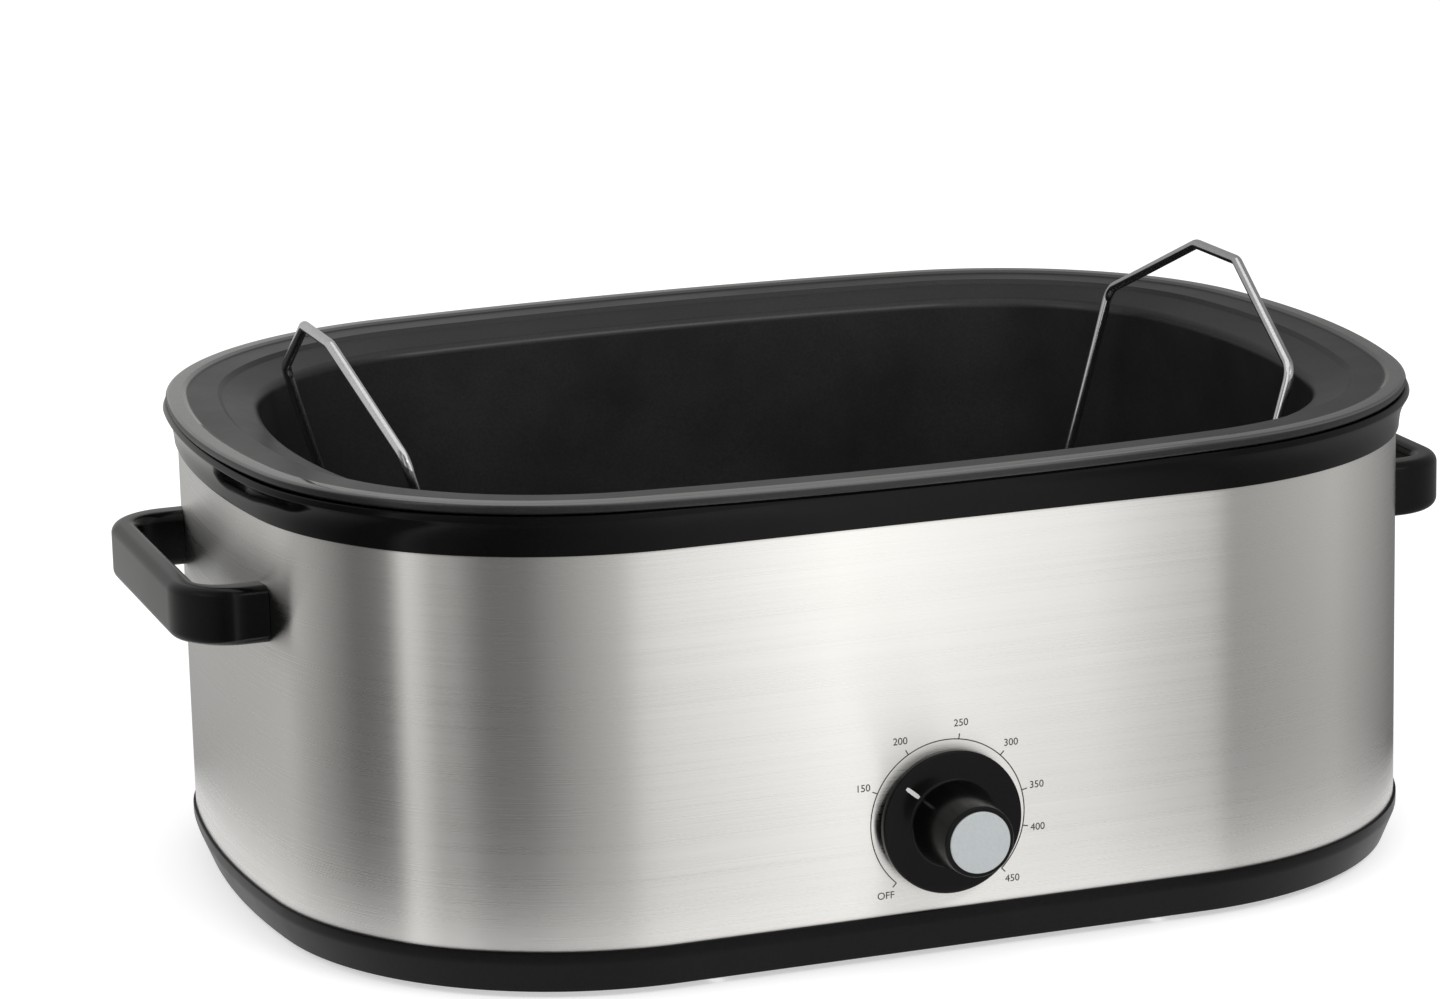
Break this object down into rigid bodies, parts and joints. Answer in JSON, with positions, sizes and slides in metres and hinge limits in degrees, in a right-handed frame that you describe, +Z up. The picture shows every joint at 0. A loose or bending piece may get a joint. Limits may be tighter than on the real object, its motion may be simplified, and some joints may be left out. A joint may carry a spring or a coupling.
{
  "type": "electric roaster oven",
  "caption": "Countertop roaster oven: brushed steel oval case on a black base, lift-out pan, wire rack with two tall bails, side loop handles and a front dial.",
  "frame": {"origin": "on the floor under the middle of the case", "axes": "+X along the length, -Y out of the front with the knob, +Z up"},
  "size_m": [0.592, 0.4397, 0.2524],
  "materials": {
    "base_plastic": "satin",
    "zinc_sheet": "satin",
    "foot_rubber": "matte",
    "zinc_screws": "satin",
    "brushed_case": "brushed",
    "collar_enamel": "gloss",
    "well_sheet": "satin",
    "heater_cloth": "matte",
    "strap_steel": "satin",
    "blanket_fibre": "matte",
    "handle_plastic": "gloss",
    "brass": "satin",
    "thermostat_plastic": "satin",
    "knob_plastic": "gloss",
    "cap_silver": "satin",
    "pan_enamel": "satin",
    "rack_wire": "bright"
  },
  "bodies": {
    "root": {"base_skirt": "base_plastic", "bottom_plate": "zinc_sheet", "rubber_feet": "foot_rubber", "base_screws": "zinc_screws", "case_wall": "brushed_case", "rim_collar": "collar_enamel", "heating_well": "well_sheet", "heater_band": "heater_cloth", "heater_straps": "strap_steel", "heater_tabs": "strap_steel", "insulation_blanket": "blanket_fibre", "right_handle": "handle_plastic", "left_handle": "handle_plastic", "handle_screws": "zinc_screws", "thermostat_bushing": "brass", "thermostat_nut": "zinc_screws", "thermostat_bracket": "zinc_sheet", "thermostat_body": "thermostat_plastic", "thermostat_terminals": "brass", "thermostat_sensor": "brass", "cord_grommet": "foot_rubber", "terminal_block": "thermostat_plastic", "thermal_fuse": "strap_steel", "fuse_clip": "strap_steel"},
    "knob": {"knob": "knob_plastic", "knob_cap": "cap_silver", "knob_clip": "strap_steel", "thermostat_shaft": "brass"},
    "pan": {"roasting_pan": "pan_enamel"},
    "rack": {"roasting_rack": "rack_wire"},
    "right_bail": {"right_bail": "rack_wire"},
    "left_bail": {"left_bail": "rack_wire"}
  },
  "joints": [
    {"name": "knob_turn", "type": "hinge", "parent": "root", "child": "knob", "pos_m": [0, -0.198, 0.061], "axis": [0, -1, 0], "range_deg": [-186, 87]},
    {"name": "pan_lift", "type": "slide", "parent": "root", "child": "pan", "axis": [0, 0, 1], "range_m": [0, 0.22]},
    {"name": "rack_lift", "type": "slide", "parent": "pan", "child": "rack", "axis": [0, 0, 1], "range_m": [0, 0.26]},
    {"name": "right_bail_swing", "type": "hinge", "parent": "rack", "child": "right_bail", "pos_m": [0.16, 0, 0.06652], "axis": [0, -1, 0], "range_deg": [0, 66]},
    {"name": "left_bail_swing", "type": "hinge", "parent": "rack", "child": "left_bail", "pos_m": [-0.16, 0, 0.06652], "axis": [0, 1, 0], "range_deg": [0, 66]}
  ]
}
